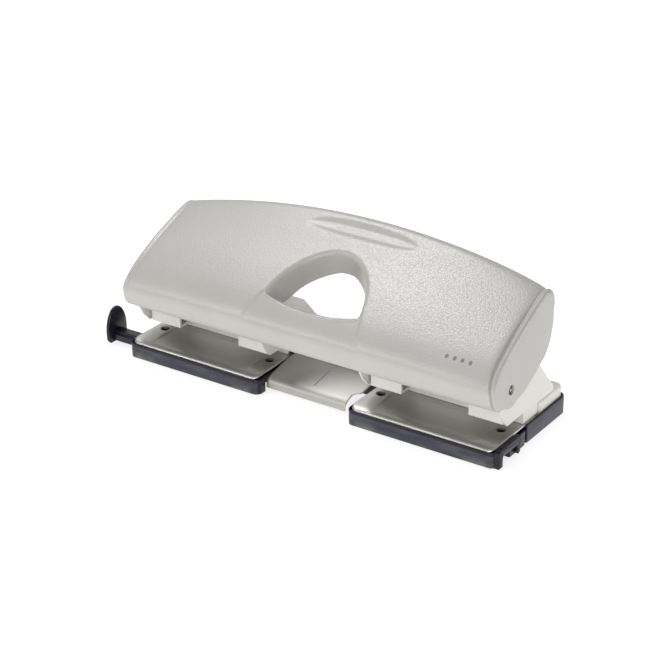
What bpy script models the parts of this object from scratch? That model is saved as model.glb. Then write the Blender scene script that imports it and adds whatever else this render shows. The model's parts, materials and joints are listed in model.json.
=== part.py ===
"""Four-hole lever punch: two twin punching units under one full-width pressed steel lever.

The frame is +Z up, metres, with the origin on the floor at the centre of the base footprint.
X runs along the paper edge, -Y is the side the paper enters from, +Y is the closed rear.
"""

import math

import bmesh
import bpy
from mathutils import Matrix, Vector

MM = 0.001

# Base footprint
BASE_HALF = 130.0
BASE_FRONT = -43.0
BASE_REAR = 43.0
RIM_TOP = 11.9
WALL = 1.6
FLOOR_GAP = 0.4

# Paper slot, shared by both units
DIE_SHEET = 1.3
SLOT_FLOOR = 12.0
SLOT_CEILING = 19.5
PAPER_STOP_Y = -6.7

# Punching units: 80 mm pitch, holes 12 mm from the paper edge
HOLE_PITCH = 80.0
PUNCH_X = [HOLE_PITCH * k for k in (-1.5, -0.5, 0.5, 1.5)]
PUNCH_NAMES = ["outer_left", "inner_left", "inner_right", "outer_right"]
PUNCH_Y = PAPER_STOP_Y - 12.0
PUNCH_R = 2.75
GUIDE_R = 2.87
DECK_LOW = (SLOT_CEILING, 21.0)
DECK_HIGH = (28.0, 29.5)
INNER_FOOT = 17.5
PUNCH_TIP = 17.9
HEAD_TOP = 44.6
HEAD_BOTTOM = 42.6
HEAD_R = 3.9
RING_Z = (41.3, 42.3)
SPRING_R = 3.35
WIRE_R = 0.33
SPRING_TURNS = 4.5

# Sheet frame of each unit
SHEET = 1.5
UNIT_IN = 34.3
UNIT_OUT = 127.5
TAB_FRONT_Y = -25.6
TABS = [(37.2, 58.0), (102.5, 124.6)]

# Lever hinge
PIVOT_Y = -27.3
PIVOT_Z = 43.4
AXLE_R = 2.0
AXLE_HOLE_R = 2.1
PRESS_BAR_Y = PIVOT_Y + 10.0
PRESS_BAR_Z = PIVOT_Z + 3.5
PRESS_BAR_R = 2.0

# Lever skin: the same named corners of its section at the ends and in the middle, as (y, z)
SKIN = 1.3
SECTION_END = [(-39.5, 34.6), (-43.5, 37.0), (-46.0, 42.3), (-44.9, 49.0), (-34.3, 60.9), (-18.2, 70.7),
               (1.0, 79.0), (12.0, 83.0), (18.4, 83.9), (22.6, 81.4), (24.2, 77.3), (24.0, 73.5)]
SECTION_MID = [(-39.5, 34.6), (-43.5, 37.0), (-46.3, 43.3), (-45.2, 50.6), (-36.0, 61.3), (-19.5, 72.0),
               (3.0, 83.8), (20.3, 93.4), (27.4, 97.0), (32.2, 95.3), (33.4, 91.0), (33.0, 86.5)]
SECTION_X = 128.0
CROWN_POWER = 2.1
LEVER_HALF_LOW = 130.4
LEVER_LEAN = 0.045
LEVER_EDGE_R = 3.0
HAND_HOLE_BASE = ((-36.0, 61.3), (20.0, 92.2))
HAND_HOLE = [(-32.0, 3.5), (-22.0, 0.5), (0.0, -2.0), (22.0, 0.5), (32.0, 3.5), (29.5, 15.0),
             (22.5, 30.0), (11.5, 40.0), (0.0, 42.5), (-11.5, 40.0), (-22.5, 30.0), (-29.5, 15.0)]

# Rear base
DECK_TOP = 18.6
DECK_SHEET = 1.2
DECK_EDGE_R = 2.0
DECK_CORNER_R = 4.4
SKIRT_BOTTOM = 4.0
EAR_NOTCH_Y = 9.7

# Chip trays
TRAY_IN = 31.1
TRAY_TOP = 9.9
TRAY_BACK = -7.5
BRIDGE_X = (-30.8, 25.8)
RUNNER_X = ((33.4, 35.6), (125.4, 127.6))
RUNNER_Z = (2.4, 4.4)
RUNNER_FRONT = -23.4
SADDLE_Z = 10.4
CHANNEL = (-35.4, -25.4)
CHANNEL_ROOF = 8.9
COLLAR_TOP = 11.9
COLLAR_WINDOW_TOP = 6.7
COLLAR_OUT = 2.6
COLLAR_Y = (-37.0, -17.6)
COLLAR_WINDOW_Y = (-35.4, -19.8)

# Paper guide
GUIDE_BAR_Y = (-34.8, -26.0)
GUIDE_BAR_Z = (2.7, 8.6)
GUIDE_X = (-148.8, -52.0)
KNOB_X = (-151.2, -148.8)


def clear_scene():
    for obj in list(bpy.data.objects):
        bpy.data.objects.remove(obj, do_unlink=True)


def material(name, colour, metallic, roughness):
    found = bpy.data.materials.get(name)
    if found:
        return found
    made = bpy.data.materials.new(name)
    made.use_nodes = True
    shader = made.node_tree.nodes["Principled BSDF"]
    shader.inputs["Base Color"].default_value = (*colour, 1.0)
    shader.inputs["Metallic"].default_value = metallic
    shader.inputs["Roughness"].default_value = roughness
    return made


def paint():
    return material("warm_grey_paint", (0.60, 0.59, 0.55), 0.0, 0.45)


def black_plastic():
    return material("black_plastic", (0.02, 0.02, 0.025), 0.0, 0.35)


def plate_steel():
    return material("satin_steel", (0.55, 0.54, 0.52), 1.0, 0.35)


def tool_steel():
    return material("tool_steel", (0.45, 0.45, 0.46), 1.0, 0.25)


def spring_steel():
    return material("spring_steel", (0.35, 0.35, 0.36), 1.0, 0.3)


def add_object(name, bm, mat, origin=(0.0, 0.0, 0.0), smooth=False):
    """Turns a bmesh drawn in millimetres in world space into an object whose origin is at `origin`."""
    shift = Vector(origin)
    bmesh.ops.translate(bm, verts=bm.verts, vec=-shift)
    bmesh.ops.scale(bm, verts=bm.verts, vec=(MM, MM, MM))
    bmesh.ops.recalc_face_normals(bm, faces=bm.faces)
    mesh = bpy.data.meshes.new(name)
    bm.to_mesh(mesh)
    bm.free()
    if smooth:
        mesh.shade_smooth()
        mesh.set_sharp_from_angle(angle=math.radians(35))
    obj = bpy.data.objects.new(name, mesh)
    obj.location = shift * MM
    if mat:
        mesh.materials.append(mat)
    bpy.context.scene.collection.objects.link(obj)
    return obj


def combine(target, others, operation):
    """Applies a Boolean with each helper in turn and removes the helpers."""
    for other in others:
        modifier = target.modifiers.new(operation.lower(), "BOOLEAN")
        modifier.operation = operation
        modifier.solver = "EXACT"
        modifier.object = other
        bpy.context.view_layer.objects.active = target
        bpy.ops.object.modifier_apply(modifier=modifier.name)
        bpy.data.objects.remove(other, do_unlink=True)
    return target


def box(x, y, z):
    """A bmesh box from three (low, high) pairs."""
    bm = bmesh.new()
    centre = Vector([(side[0] + side[1]) / 2 for side in (x, y, z)])
    size = [side[1] - side[0] for side in (x, y, z)]
    bmesh.ops.create_cube(bm, size=1.0, matrix=Matrix.Translation(centre) @ Matrix.Diagonal((*size, 1.0)))
    return bm


def box_object(x, y, z):
    return add_object("helper", box(x, y, z), None)


def cylinder(start, end, radius, segments=24):
    """A bmesh cylinder between two points."""
    bm = bmesh.new()
    start = Vector(start)
    along = Vector(end) - start
    turn = along.to_track_quat("Z", "X").to_matrix().to_4x4()
    place = Matrix.Translation(start + along / 2) @ turn
    bmesh.ops.create_cone(bm, cap_ends=True, segments=segments, radius1=radius, radius2=radius,
                          depth=along.length, matrix=place)
    return bm


def cylinder_object(start, end, radius, segments=24):
    return add_object("helper", cylinder(start, end, radius, segments), None)


def prism(outline, low, high, axis="x"):
    """Extrudes a closed outline. For axis x the outline is (y, z), for axis z it is (x, y)."""
    bm = bmesh.new()
    rings = []
    for level in (low, high):
        if axis == "x":
            rings.append([bm.verts.new((level, a, b)) for a, b in outline])
        else:
            rings.append([bm.verts.new((a, b, level)) for a, b in outline])
    bm.faces.new(rings[0])
    bm.faces.new(rings[1][::-1])
    count = len(outline)
    for i in range(count):
        j = (i + 1) % count
        bm.faces.new((rings[0][i], rings[1][i], rings[1][j], rings[0][j]))
    bmesh.ops.recalc_face_normals(bm, faces=bm.faces)
    return bm


def turned(profile, centre, segments=24):
    """Revolves (radius, z) points, listed top to bottom down the outside, around a vertical axis."""
    bm = bmesh.new()
    rings = []
    for radius, z in profile:
        if radius == 0.0:
            rings.append([bm.verts.new((centre[0], centre[1], z))])
            continue
        rings.append([bm.verts.new((centre[0] + radius * math.cos(a), centre[1] + radius * math.sin(a), z))
                      for a in [2 * math.pi * k / segments for k in range(segments)]])
    for upper, lower in zip(rings[:-1], rings[1:]):
        for k in range(segments):
            n = (k + 1) % segments
            corners = [upper[k % len(upper)], upper[n % len(upper)], lower[n % len(lower)], lower[k % len(lower)]]
            unique = list(dict.fromkeys(corners))
            bm.faces.new(unique)
    if len(rings[0]) > 1 and len(rings[-1]) > 1:
        for k in range(segments):
            n = (k + 1) % segments
            bm.faces.new((rings[-1][k], rings[-1][n], rings[0][n], rings[0][k]))
    return bm


def arc(centre, radius, start, end, steps):
    """Points on a circular arc, angles in degrees."""
    turns = [math.radians(start + (end - start) * k / steps) for k in range(steps + 1)]
    return [(centre[0] + radius * math.cos(t), centre[1] + radius * math.sin(t)) for t in turns]


def smooth_curve(corners, per_span):
    """A Catmull-Rom curve through the corners."""
    points = [Vector(p) for p in corners]
    padded = [2 * points[0] - points[1], *points, 2 * points[-1] - points[-2]]
    curve = []
    for p0, p1, p2, p3 in zip(padded, padded[1:], padded[2:], padded[3:]):
        for k in range(per_span):
            t = k / per_span
            curve.append(0.5 * (2 * p1 + (p2 - p0) * t + (2 * p0 - 5 * p1 + 4 * p2 - p3) * t * t
                                + (3 * p1 - p0 - 3 * p2 + p3) * t ** 3))
    curve.append(points[-1])
    return curve


# Lever ---------------------------------------------------------------------------------------------


def lever_section(x, inset, per_span=2):
    """The lever's outer section at x, moved inwards by `inset`, as (y, z) points from the lower edge up."""
    crown = 1 - min(1.0, abs(x) / SECTION_X) ** CROWN_POWER
    corners = [(a[0] + (b[0] - a[0]) * crown, a[1] + (b[1] - a[1]) * crown)
               for a, b in zip(SECTION_END, SECTION_MID)]
    curve = smooth_curve(corners, per_span)
    moved = []
    for k, point in enumerate(curve):
        along = (curve[min(k + 1, len(curve) - 1)] - curve[max(k - 1, 0)]).normalized()
        moved.append(point + Vector((along.y, -along.x)) * inset)
    return moved


def lever_half_length(z):
    return LEVER_HALF_LOW - LEVER_LEAN * (z - 34.0)


def lever_cap_edge():
    """The free lower and rear edge of an end cap, from the lever's rear lip down to its lower front edge."""
    rear = [(21.0, 66.0), (17.8, 56.5), (13.0, 49.8), (6.5, 45.3), (-3.5, 40.4), (-13.5, 36.2)]
    around_pivot = arc((PIVOT_Y, PIVOT_Z), 10.6, -50.0, -112.0, 5)
    return [Vector(p) for p in rear + around_pivot]


def handle_shell():
    """One sheet: face skin, rolled top lip and both end caps, open at the rear and below."""
    bm = bmesh.new()
    steps = 3
    turns = [math.pi / 2 * k / steps for k in range(steps + 1)]
    edge = [(1 - math.cos(t), 1 - math.sin(t)) for t in turns]
    spans = 14
    columns = [(-1.0, back * LEVER_EDGE_R, inset * LEVER_EDGE_R) for back, inset in edge]
    columns += [(-1 + 2 * k / spans, LEVER_EDGE_R * (1 - 2 * k / spans), 0.0) for k in range(1, spans)]
    columns += [(1.0, -back * LEVER_EDGE_R, inset * LEVER_EDGE_R) for back, inset in reversed(edge)]
    grid = []
    for share, back, inset in columns:
        column = []
        for point in lever_section(share * SECTION_X, inset):
            x = share * lever_half_length(point.y) + back
            column.append(bm.verts.new((x, point.x, point.y)))
        grid.append(column)
    for left, right in zip(grid, grid[1:]):
        for k in range(len(left) - 1):
            bm.faces.new((left[k], right[k], right[k + 1], left[k + 1]))
    for side, column in ((-1, grid[0]), (1, grid[-1])):
        free = [bm.verts.new((side * lever_half_length(p.y), p.x, p.y)) for p in lever_cap_edge()]
        ring = column + free
        bm.faces.new(ring if side > 0 else ring[::-1])
    shell = add_object("handle_shell", bm, paint(), smooth=True)
    thick = shell.modifiers.new("sheet", "SOLIDIFY")
    thick.thickness = SKIN * MM
    thick.offset = -1.0
    thick.use_even_offset = True
    bpy.context.view_layer.objects.active = shell
    bpy.ops.object.modifier_apply(modifier=thick.name)
    cutters = [hand_hole_cutter()]
    for side in (-1, 1):
        cutters.append(cylinder_object((side * 120, PIVOT_Y, PIVOT_Z), (side * 140, PIVOT_Y, PIVOT_Z),
                                       AXLE_HOLE_R))
    return combine(shell, cutters, "DIFFERENCE")


def hand_hole_cutter():
    """A prism square to the face. Its outline is given as x and the distance up the face."""
    low, high = (Vector(p) for p in HAND_HOLE_BASE)
    along = (high - low).normalized()
    out = Vector((-along.y, along.x))
    loop = [Vector((a, b)) for a, b in HAND_HOLE]
    rounded = []
    count = len(loop)
    for k in range(count):
        p0, p1, p2, p3 = (loop[(k + d) % count] for d in (-1, 0, 1, 2))
        for s in range(2):
            t = s / 2
            rounded.append(0.5 * (2 * p1 + (p2 - p0) * t + (2 * p0 - 5 * p1 + 4 * p2 - p3) * t * t
                                  + (3 * p1 - p0 - 3 * p2 + p3) * t ** 3))
    bm = bmesh.new()
    rings = []
    for depth in (-10.0, 12.0):
        ring = []
        for x, distance in rounded:
            place = low + along * distance + out * depth
            ring.append(bm.verts.new((x, place.x, place.y)))
        rings.append(ring)
    bm.faces.new(rings[0])
    bm.faces.new(rings[1][::-1])
    for k in range(len(rounded)):
        n = (k + 1) % len(rounded)
        bm.faces.new((rings[0][k], rings[1][k], rings[1][n], rings[0][n]))
    return add_object("helper", bm, None)


def press_bar(side):
    """A rod that spans both punch heads of one unit, hung from the skin on two gusset plates."""
    name = "press_bar_left" if side < 0 else "press_bar_right"
    rod = add_object(name, cylinder((side * 37.0, PRESS_BAR_Y, PRESS_BAR_Z),
                                    (side * 124.6, PRESS_BAR_Y, PRESS_BAR_Z), PRESS_BAR_R, 20), tool_steel())
    gussets = []
    for x in (62.0, 98.0):
        inner = lever_section(x + 1.0, SKIN + 0.35, 4)
        top = [(p.x, p.y) for p in inner if -30.0 < p.x < -6.0 and p.y > 55.0]
        outline = [(PRESS_BAR_Y + 1.6, PRESS_BAR_Z), (PRESS_BAR_Y - 1.6, PRESS_BAR_Z), *top]
        low, high = sorted((side * x, side * (x + 2.0)))
        gussets.append(add_object("helper", prism(outline, low, high), None))
    return combine(rod, gussets, "UNION")


# Punching units ------------------------------------------------------------------------------------


def ear_outline(outer):
    """An ear of the sheet frame in (y, z). The outer ear runs down past the paper stop to the base rim."""
    head = arc((PIVOT_Y, PIVOT_Z), 13.3, 232.0, 70.0, 10)
    front = [(TAB_FRONT_Y, SLOT_CEILING), (-31.2, 25.4)]
    rear = [(-12.0, 54.0), (0.0, 48.5), (10.0, 43.0), (28.8, 22.0), (28.8, DECK_TOP + 0.3),
            (EAR_NOTCH_Y, DECK_TOP + 0.3)]
    foot_z = RIM_TOP + 0.5 if outer else INNER_FOOT
    foot = [(EAR_NOTCH_Y, foot_z), (PAPER_STOP_Y, foot_z), (PAPER_STOP_Y, SLOT_CEILING)]
    return front + head + rear + foot


def unit_frame(side):
    """Folded sheet frame: two ears, guide decks, front tabs, rear wall as paper stop, and rear foot."""
    name = "punch_frame_left" if side < 0 else "punch_frame_right"

    def span(low, high):
        return tuple(sorted((side * low, side * high)))

    frame = add_object(name, prism(ear_outline(True), *span(UNIT_OUT - SHEET, UNIT_OUT)), paint())
    inside = (UNIT_IN + 0.5, UNIT_OUT - 0.5)
    pieces = [add_object("helper", prism(ear_outline(False), *span(UNIT_IN, UNIT_IN + SHEET)), None),
              box_object(span(*inside), (TAB_FRONT_Y, PAPER_STOP_Y + SHEET), DECK_HIGH),
              box_object(span(*inside), (PAPER_STOP_Y, PAPER_STOP_Y + SHEET), (SLOT_FLOOR + 0.3, 29.0)),
              box_object(span(UNIT_IN + 0.5, UNIT_OUT - 2.5), (PAPER_STOP_Y + 0.5, 26.0),
                         (DECK_TOP + 0.3, DECK_TOP + 0.3 + SHEET))]
    for low, high in TABS:
        pieces.append(box_object(span(low, high), (TAB_FRONT_Y, TAB_FRONT_Y + SHEET), (SLOT_CEILING, 28.8)))
        pieces.append(box_object(span(low, high), (TAB_FRONT_Y + 0.5, PAPER_STOP_Y + 0.7), DECK_LOW))
    combine(frame, pieces, "UNION")
    holes = [cylinder_object((side * 20, PIVOT_Y, PIVOT_Z), (side * 140, PIVOT_Y, PIVOT_Z), AXLE_HOLE_R)]
    for x in PUNCH_X:
        if x * side > 0:
            holes.append(cylinder_object((x, PUNCH_Y, 10), (x, PUNCH_Y, 35), GUIDE_R, 24))
    for x, y in rivet_places(side):
        holes.append(cylinder_object((x, y, 10), (x, y, 25), RIVET_R + 0.2))
    return combine(frame, holes, "DIFFERENCE")


def axle(side):
    """Hinge axle of one unit, flush in the lever's end cap."""
    name = "axle_left" if side < 0 else "axle_right"
    end = lever_half_length(PIVOT_Z) - 0.2
    return add_object(name, cylinder((side * 31.5, PIVOT_Y, PIVOT_Z), (side * end, PIVOT_Y, PIVOT_Z), AXLE_R),
                      tool_steel(), (side * 31.5, PIVOT_Y, PIVOT_Z))


def axle_clip(side):
    """Push-on washer that keeps the axle in the inner ear."""
    name = "axle_clip_left" if side < 0 else "axle_clip_right"
    ring = add_object(name, cylinder((side * 32.9, PIVOT_Y, PIVOT_Z), (side * 34.0, PIVOT_Y, PIVOT_Z), 4.2),
                      spring_steel())
    hole = cylinder_object((side * 30, PIVOT_Y, PIVOT_Z), (side * 36, PIVOT_Y, PIVOT_Z), AXLE_HOLE_R)
    return combine(ring, [hole], "DIFFERENCE")


def punch(index):
    """Hardened pin with a disc head and a hollow-ground cutting end."""
    x = PUNCH_X[index]
    profile = [(0.0, HEAD_TOP), (HEAD_R - 0.5, HEAD_TOP), (HEAD_R, HEAD_TOP - 0.5), (HEAD_R, HEAD_BOTTOM),
               (PUNCH_R, HEAD_BOTTOM), (PUNCH_R, PUNCH_TIP), (PUNCH_R - 0.5, PUNCH_TIP + 0.6),
               (0.0, PUNCH_TIP + 2.0)]
    return add_object("punch_" + PUNCH_NAMES[index], turned(profile, (x, PUNCH_Y), 24), tool_steel(),
                      (x, PUNCH_Y, PUNCH_TIP), smooth=True)


def retaining_ring(index):
    """Ring under the punch head that takes the spring's thrust."""
    x = PUNCH_X[index]
    low, high = RING_Z
    profile = [(PUNCH_R + 0.12, high), (HEAD_R, high), (HEAD_R, low), (PUNCH_R + 0.12, low)]
    return add_object("retaining_ring_" + PUNCH_NAMES[index], turned(profile, (x, PUNCH_Y), 24),
                      spring_steel(), (x, PUNCH_Y, low))


def return_spring(index):
    """Compression coil between the upper guide deck and the retaining ring."""
    x = PUNCH_X[index]
    low = DECK_HIGH[1] + WIRE_R + 0.3
    high = RING_Z[0] - WIRE_R - 0.3
    steps = int(SPRING_TURNS * 12)
    sides = 5
    bm = bmesh.new()
    rings = []
    for k in range(steps + 1):
        share = k / steps
        turn = 2 * math.pi * SPRING_TURNS * share
        radial = Vector((math.cos(turn), math.sin(turn), 0))
        centre = Vector((x, PUNCH_Y, low + (high - low) * share)) + radial * SPRING_R
        rings.append([bm.verts.new(centre + radial * (WIRE_R * math.cos(a)) + Vector((0, 0, WIRE_R * math.sin(a))))
                      for a in [2 * math.pi * s / sides for s in range(sides)]])
    for near, far in zip(rings, rings[1:]):
        for s in range(sides):
            n = (s + 1) % sides
            bm.faces.new((near[s], near[n], far[n], far[s]))
    bm.faces.new(rings[0][::-1])
    bm.faces.new(rings[-1])
    return add_object("return_spring_" + PUNCH_NAMES[index], bm, spring_steel(), (x, PUNCH_Y, low), smooth=True)


# Base ----------------------------------------------------------------------------------------------

RIVET_R = 1.4
RIVET_HEAD_R = 2.6
RIVET_ROWS = [("front", 2.0, 80.0), ("rear", 18.0, 80.0)]


def rivet_places(side):
    return [(side * x, y) for _, y, x in RIVET_ROWS]


def die_plate(side):
    """Flat steel plate with a rolled front edge and two die holes. Its rear lies under the base plate's tongue."""
    name = "die_plate_left" if side < 0 else "die_plate_right"
    low_z = SLOT_FLOOR - DIE_SHEET
    top = [(-42.2, 10.1), (-42.0, 10.7), (-41.4, 11.2), (-39.6, 11.8), (-37.2, SLOT_FLOOR), (7.5, SLOT_FLOOR)]
    bottom = [(7.5, low_z), (-37.4, low_z), (-39.8, 10.5), (-40.9, 10.1)]
    low, high = sorted((side * (TRAY_IN + 1.8), side * (BASE_HALF - 1.8)))
    plate = add_object(name, prism(top + bottom, low, high), plate_steel())
    cutters = []
    for x in PUNCH_X:
        if x * side > 0:
            cutters.append(cylinder_object((x, PUNCH_Y, 5), (x, PUNCH_Y, 25), GUIDE_R, 24))
    for x, y in rivet_places(side)[:1]:
        cutters.append(cylinder_object((x, y, 5), (x, y, 25), RIVET_R + 0.2))
    return combine(plate, cutters, "DIFFERENCE")


def base_plate():
    """Pressed sheet deck with a rounded skirt at the rear and a lower front tongue that joins both units."""
    outer_x = BASE_HALF - WALL - 0.3
    span_y = (EAR_NOTCH_Y + 0.4, BASE_REAR - WALL - 0.3)
    shoulder = DECK_TOP - DECK_EDGE_R
    steps = 4
    levels = [(0.0, SKIRT_BOTTOM), (0.0, shoulder)]
    for k in range(1, steps + 1):
        turn = math.pi / 2 * k / steps
        levels.append((DECK_EDGE_R * (1 - math.cos(turn)), shoulder + DECK_EDGE_R * math.sin(turn)))
    inner_r = DECK_EDGE_R - DECK_SHEET
    inside = [(DECK_EDGE_R, DECK_TOP - DECK_SHEET)]
    for k in range(steps - 1, -1, -1):
        turn = math.pi / 2 * k / steps
        inside.append((DECK_EDGE_R - inner_r * math.cos(turn), shoulder + inner_r * math.sin(turn)))
    inside.append((DECK_SHEET, SKIRT_BOTTOM))
    bm = bmesh.new()
    corners = {(1, -1), (1, 1), (-1, 1), (-1, -1)}
    rings = []
    for inset, z in levels + inside:
        outline = rounded_rectangle((-outer_x + inset, outer_x - inset), (span_y[0] + inset, span_y[1] - inset),
                                    DECK_CORNER_R - inset, corners)
        rings.append([bm.verts.new((x, y, z)) for x, y in outline])
    top = len(levels) - 1
    count = len(rings[0])
    for k, (near, far) in enumerate(zip(rings, rings[1:] + rings[:1])):
        if k == top:
            bm.faces.new(near)
            bm.faces.new(far[::-1])
            continue
        for i in range(count):
            j = (i + 1) % count
            bm.faces.new((near[i], near[j], far[j], far[i]))
    deck = add_object("base_plate", bm, paint(), smooth=True)
    tongue_x = UNIT_OUT - SHEET - 0.4
    tongue = box_object((-tongue_x, tongue_x), (PAPER_STOP_Y + 1.9, span_y[0] + 0.6), (14.3, 15.5))
    combine(deck, [tongue], "UNION")
    holes = []
    for side in (-1, 1):
        for x, y in rivet_places(side):
            holes.append(cylinder_object((x, y, 10), (x, y, 25), RIVET_R + 0.2))
    return combine(deck, holes, "DIFFERENCE")


def bridge_plate():
    """Sheet apron between the trays, with a lip, a rounded nose and a long slope up to the base tongue."""
    sheet = 1.2
    outline = [(-35.3, 3.1), (-35.4, 5.0), (-34.8, 7.0), (-33.2, 8.6), (-30.5, 9.8), (-26.0, 11.0),
               (-20.0, 12.2), (-14.0, 13.1), (-8.4, 13.75), (-2.0, 13.95)]
    curve = [Vector(p) for p in outline]
    inside = []
    for k, point in enumerate(curve):
        along = (curve[min(k + 1, len(curve) - 1)] - curve[max(k - 1, 0)]).normalized()
        inside.append(point + Vector((along.y, -along.x)) * sheet)
    section = outline + [tuple(p) for p in inside[::-1]]
    return add_object("bridge_plate", prism(section, *BRIDGE_X), plate_steel(), smooth=True)


def rounded_rectangle(x, y, radius, corners):
    """Outline with the named corners rounded: corners is a set of (x side, y side) pairs."""
    places = [((1, -1), -90.0), ((1, 1), 0.0), ((-1, 1), 90.0), ((-1, -1), 180.0)]
    outline = []
    for (sx, sy), start in places:
        corner = (x[1] if sx > 0 else x[0], y[1] if sy > 0 else y[0])
        if (sx, sy) not in corners:
            outline.append(corner)
            continue
        centre = (corner[0] - sx * radius, corner[1] - sy * radius)
        outline += arc(centre, radius, start, start + 90.0, 6)
    return outline


def rear_base_cover():
    """Moulded rear floor pan with a rim, saddles that the die plates lie on, and runners for the chip trays."""
    front = PAPER_STOP_Y + 0.9
    rounded = {(1, 1), (-1, 1)}
    pan = add_object("rear_base_cover", prism(rounded_rectangle(
        (-BASE_HALF, BASE_HALF), (front, BASE_REAR), 6.0, rounded), 0.0, RIM_TOP, "z"), black_plastic())
    hollow = add_object("helper", prism(rounded_rectangle(
        (-BASE_HALF + WALL, BASE_HALF - WALL), (front + WALL, BASE_REAR - WALL), 4.4, rounded),
        1.6, RIM_TOP + 5, "z"), None)
    combine(pan, [hollow], "DIFFERENCE")
    for side in (-1, 1):
        saddle = tuple(sorted((side * (TRAY_IN + 1.4), side * (BASE_HALF - WALL))))
        combine(pan, [box_object(saddle, (front - 1.0, front + WALL + 1.0), (SADDLE_Z, RIM_TOP + 5))], "DIFFERENCE")
    runners = []
    for low, high in RUNNER_X:
        for side in (-1, 1):
            reach = tuple(sorted((side * low, side * high)))
            runners.append(box_object(reach, (RUNNER_FRONT, front + 0.5), RUNNER_Z))
    return combine(pan, runners, "UNION")


def chip_tray(side):
    """Moulded drawer under one die plate: front lip, raised channel for the paper guide, runner openings."""
    name = "chip_tray_left" if side < 0 else "chip_tray_right"

    def span(low, high):
        return tuple(sorted((side * low, side * high)))

    front_corners = {(1, -1), (-1, -1)}
    outer = prism(rounded_rectangle(span(TRAY_IN, BASE_HALF), (BASE_FRONT, TRAY_BACK), 4.0, front_corners),
                  FLOOR_GAP, TRAY_TOP, "z")
    tray = add_object(name, outer, black_plastic())
    inside = rounded_rectangle(span(TRAY_IN + WALL, BASE_HALF - WALL), (BASE_FRONT + WALL, TRAY_BACK - WALL),
                               2.4, front_corners)
    hollow = add_object("helper", prism(inside, 2.0, TRAY_TOP + 5, "z"), None)
    combine(tray, [hollow], "DIFFERENCE")
    roof = box_object(span(TRAY_IN + 0.5, BASE_HALF - 0.5), (CHANNEL[0] - 1.2, CHANNEL[1] + 1.2),
                      (0.8, TRAY_TOP))
    combine(tray, [roof], "UNION")
    collar = box_object(span(BASE_HALF - 1.0, BASE_HALF + COLLAR_OUT), COLLAR_Y, (FLOOR_GAP, COLLAR_TOP))
    combine(tray, [collar], "UNION")
    channel = box_object(span(TRAY_IN - 5, BASE_HALF + 5), CHANNEL, (-1.0, CHANNEL_ROOF))
    window = box_object(span(BASE_HALF - 5.0, BASE_HALF + 5), COLLAR_WINDOW_Y,
                        (-1.0, COLLAR_WINDOW_TOP))
    combine(tray, [channel, window], "DIFFERENCE")
    straps = [box_object(span(x, x + 6.0), (CHANNEL[0] - 0.8, CHANNEL[1] + 0.8), (FLOOR_GAP, 2.4))
              for x in (44.0, 82.0, 112.0)]
    combine(tray, straps, "UNION")
    openings = []
    for low, high in RUNNER_X:
        openings.append(box_object(span(low - 0.3, high + 0.3), (CHANNEL[1] + 1.7, 0.0),
                                   (RUNNER_Z[0] - 0.3, RUNNER_Z[1] + 0.3)))
    return combine(tray, openings, "DIFFERENCE")


def guide_bar():
    """Sliding bar with a step along its top, held in the left tray's channel."""
    low_y, high_y = GUIDE_BAR_Y
    low_z, high_z = GUIDE_BAR_Z
    outline = [(low_y, low_z), (high_y, low_z), (high_y, high_z), (low_y + 2.2, high_z),
               (low_y + 2.2, high_z - 1.4), (low_y, high_z - 1.4)]
    return add_object("guide_bar", prism(outline, *GUIDE_X), black_plastic(), (GUIDE_X[1], 0, 0))


def guide_knob():
    """Upright half-oval plate at the bar's outer end that the paper's side edge rests on."""
    centre_y = -30.0
    outline = [(centre_y - 7.6, 0.9), (centre_y + 7.6, 0.9)]
    for k in range(13):
        t = math.pi * k / 12
        outline.append((centre_y + 9.1 * math.cos(t), 8.5 + 15.6 * math.sin(t)))
    plate = prism(outline, KNOB_X[0] - 0.3, KNOB_X[1] - 0.3)
    return add_object("guide_knob", plate, black_plastic(), (GUIDE_X[1], 0, 0))


def base_rivet(side, row):
    label, y, x = RIVET_ROWS[row]
    name = f"rivet_{label}_{'left' if side < 0 else 'right'}"
    foot_top = DECK_TOP + 0.3 + SHEET
    sheet_bottom = SLOT_FLOOR - DIE_SHEET if row == 0 else DECK_TOP - DECK_SHEET
    profile = [(0.0, foot_top + 1.3), (RIVET_HEAD_R * 0.7, foot_top + 1.1), (RIVET_HEAD_R, foot_top + 0.3),
               (RIVET_R, foot_top + 0.3), (RIVET_R, sheet_bottom - 0.3), (RIVET_HEAD_R, sheet_bottom - 0.3),
               (RIVET_HEAD_R * 0.8, sheet_bottom - 1.2), (0.0, sheet_bottom - 1.2)]
    return add_object(name, turned(profile, (side * x, y), 16), tool_steel(), smooth=True)


def main():
    clear_scene()
    base_plate()
    bridge_plate()
    rear_base_cover()
    guide_bar()
    guide_knob()
    handle_shell()
    for side in (-1, 1):
        die_plate(side)
        unit_frame(side)
        axle(side)
        axle_clip(side)
        press_bar(side)
        chip_tray(side)
        for row in range(len(RIVET_ROWS)):
            base_rivet(side, row)
    for index in range(len(PUNCH_X)):
        punch(index)
        retaining_ring(index)
        return_spring(index)


main()
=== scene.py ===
"""Looks of the four-hole lever punch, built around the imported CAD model."""

import math

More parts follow.
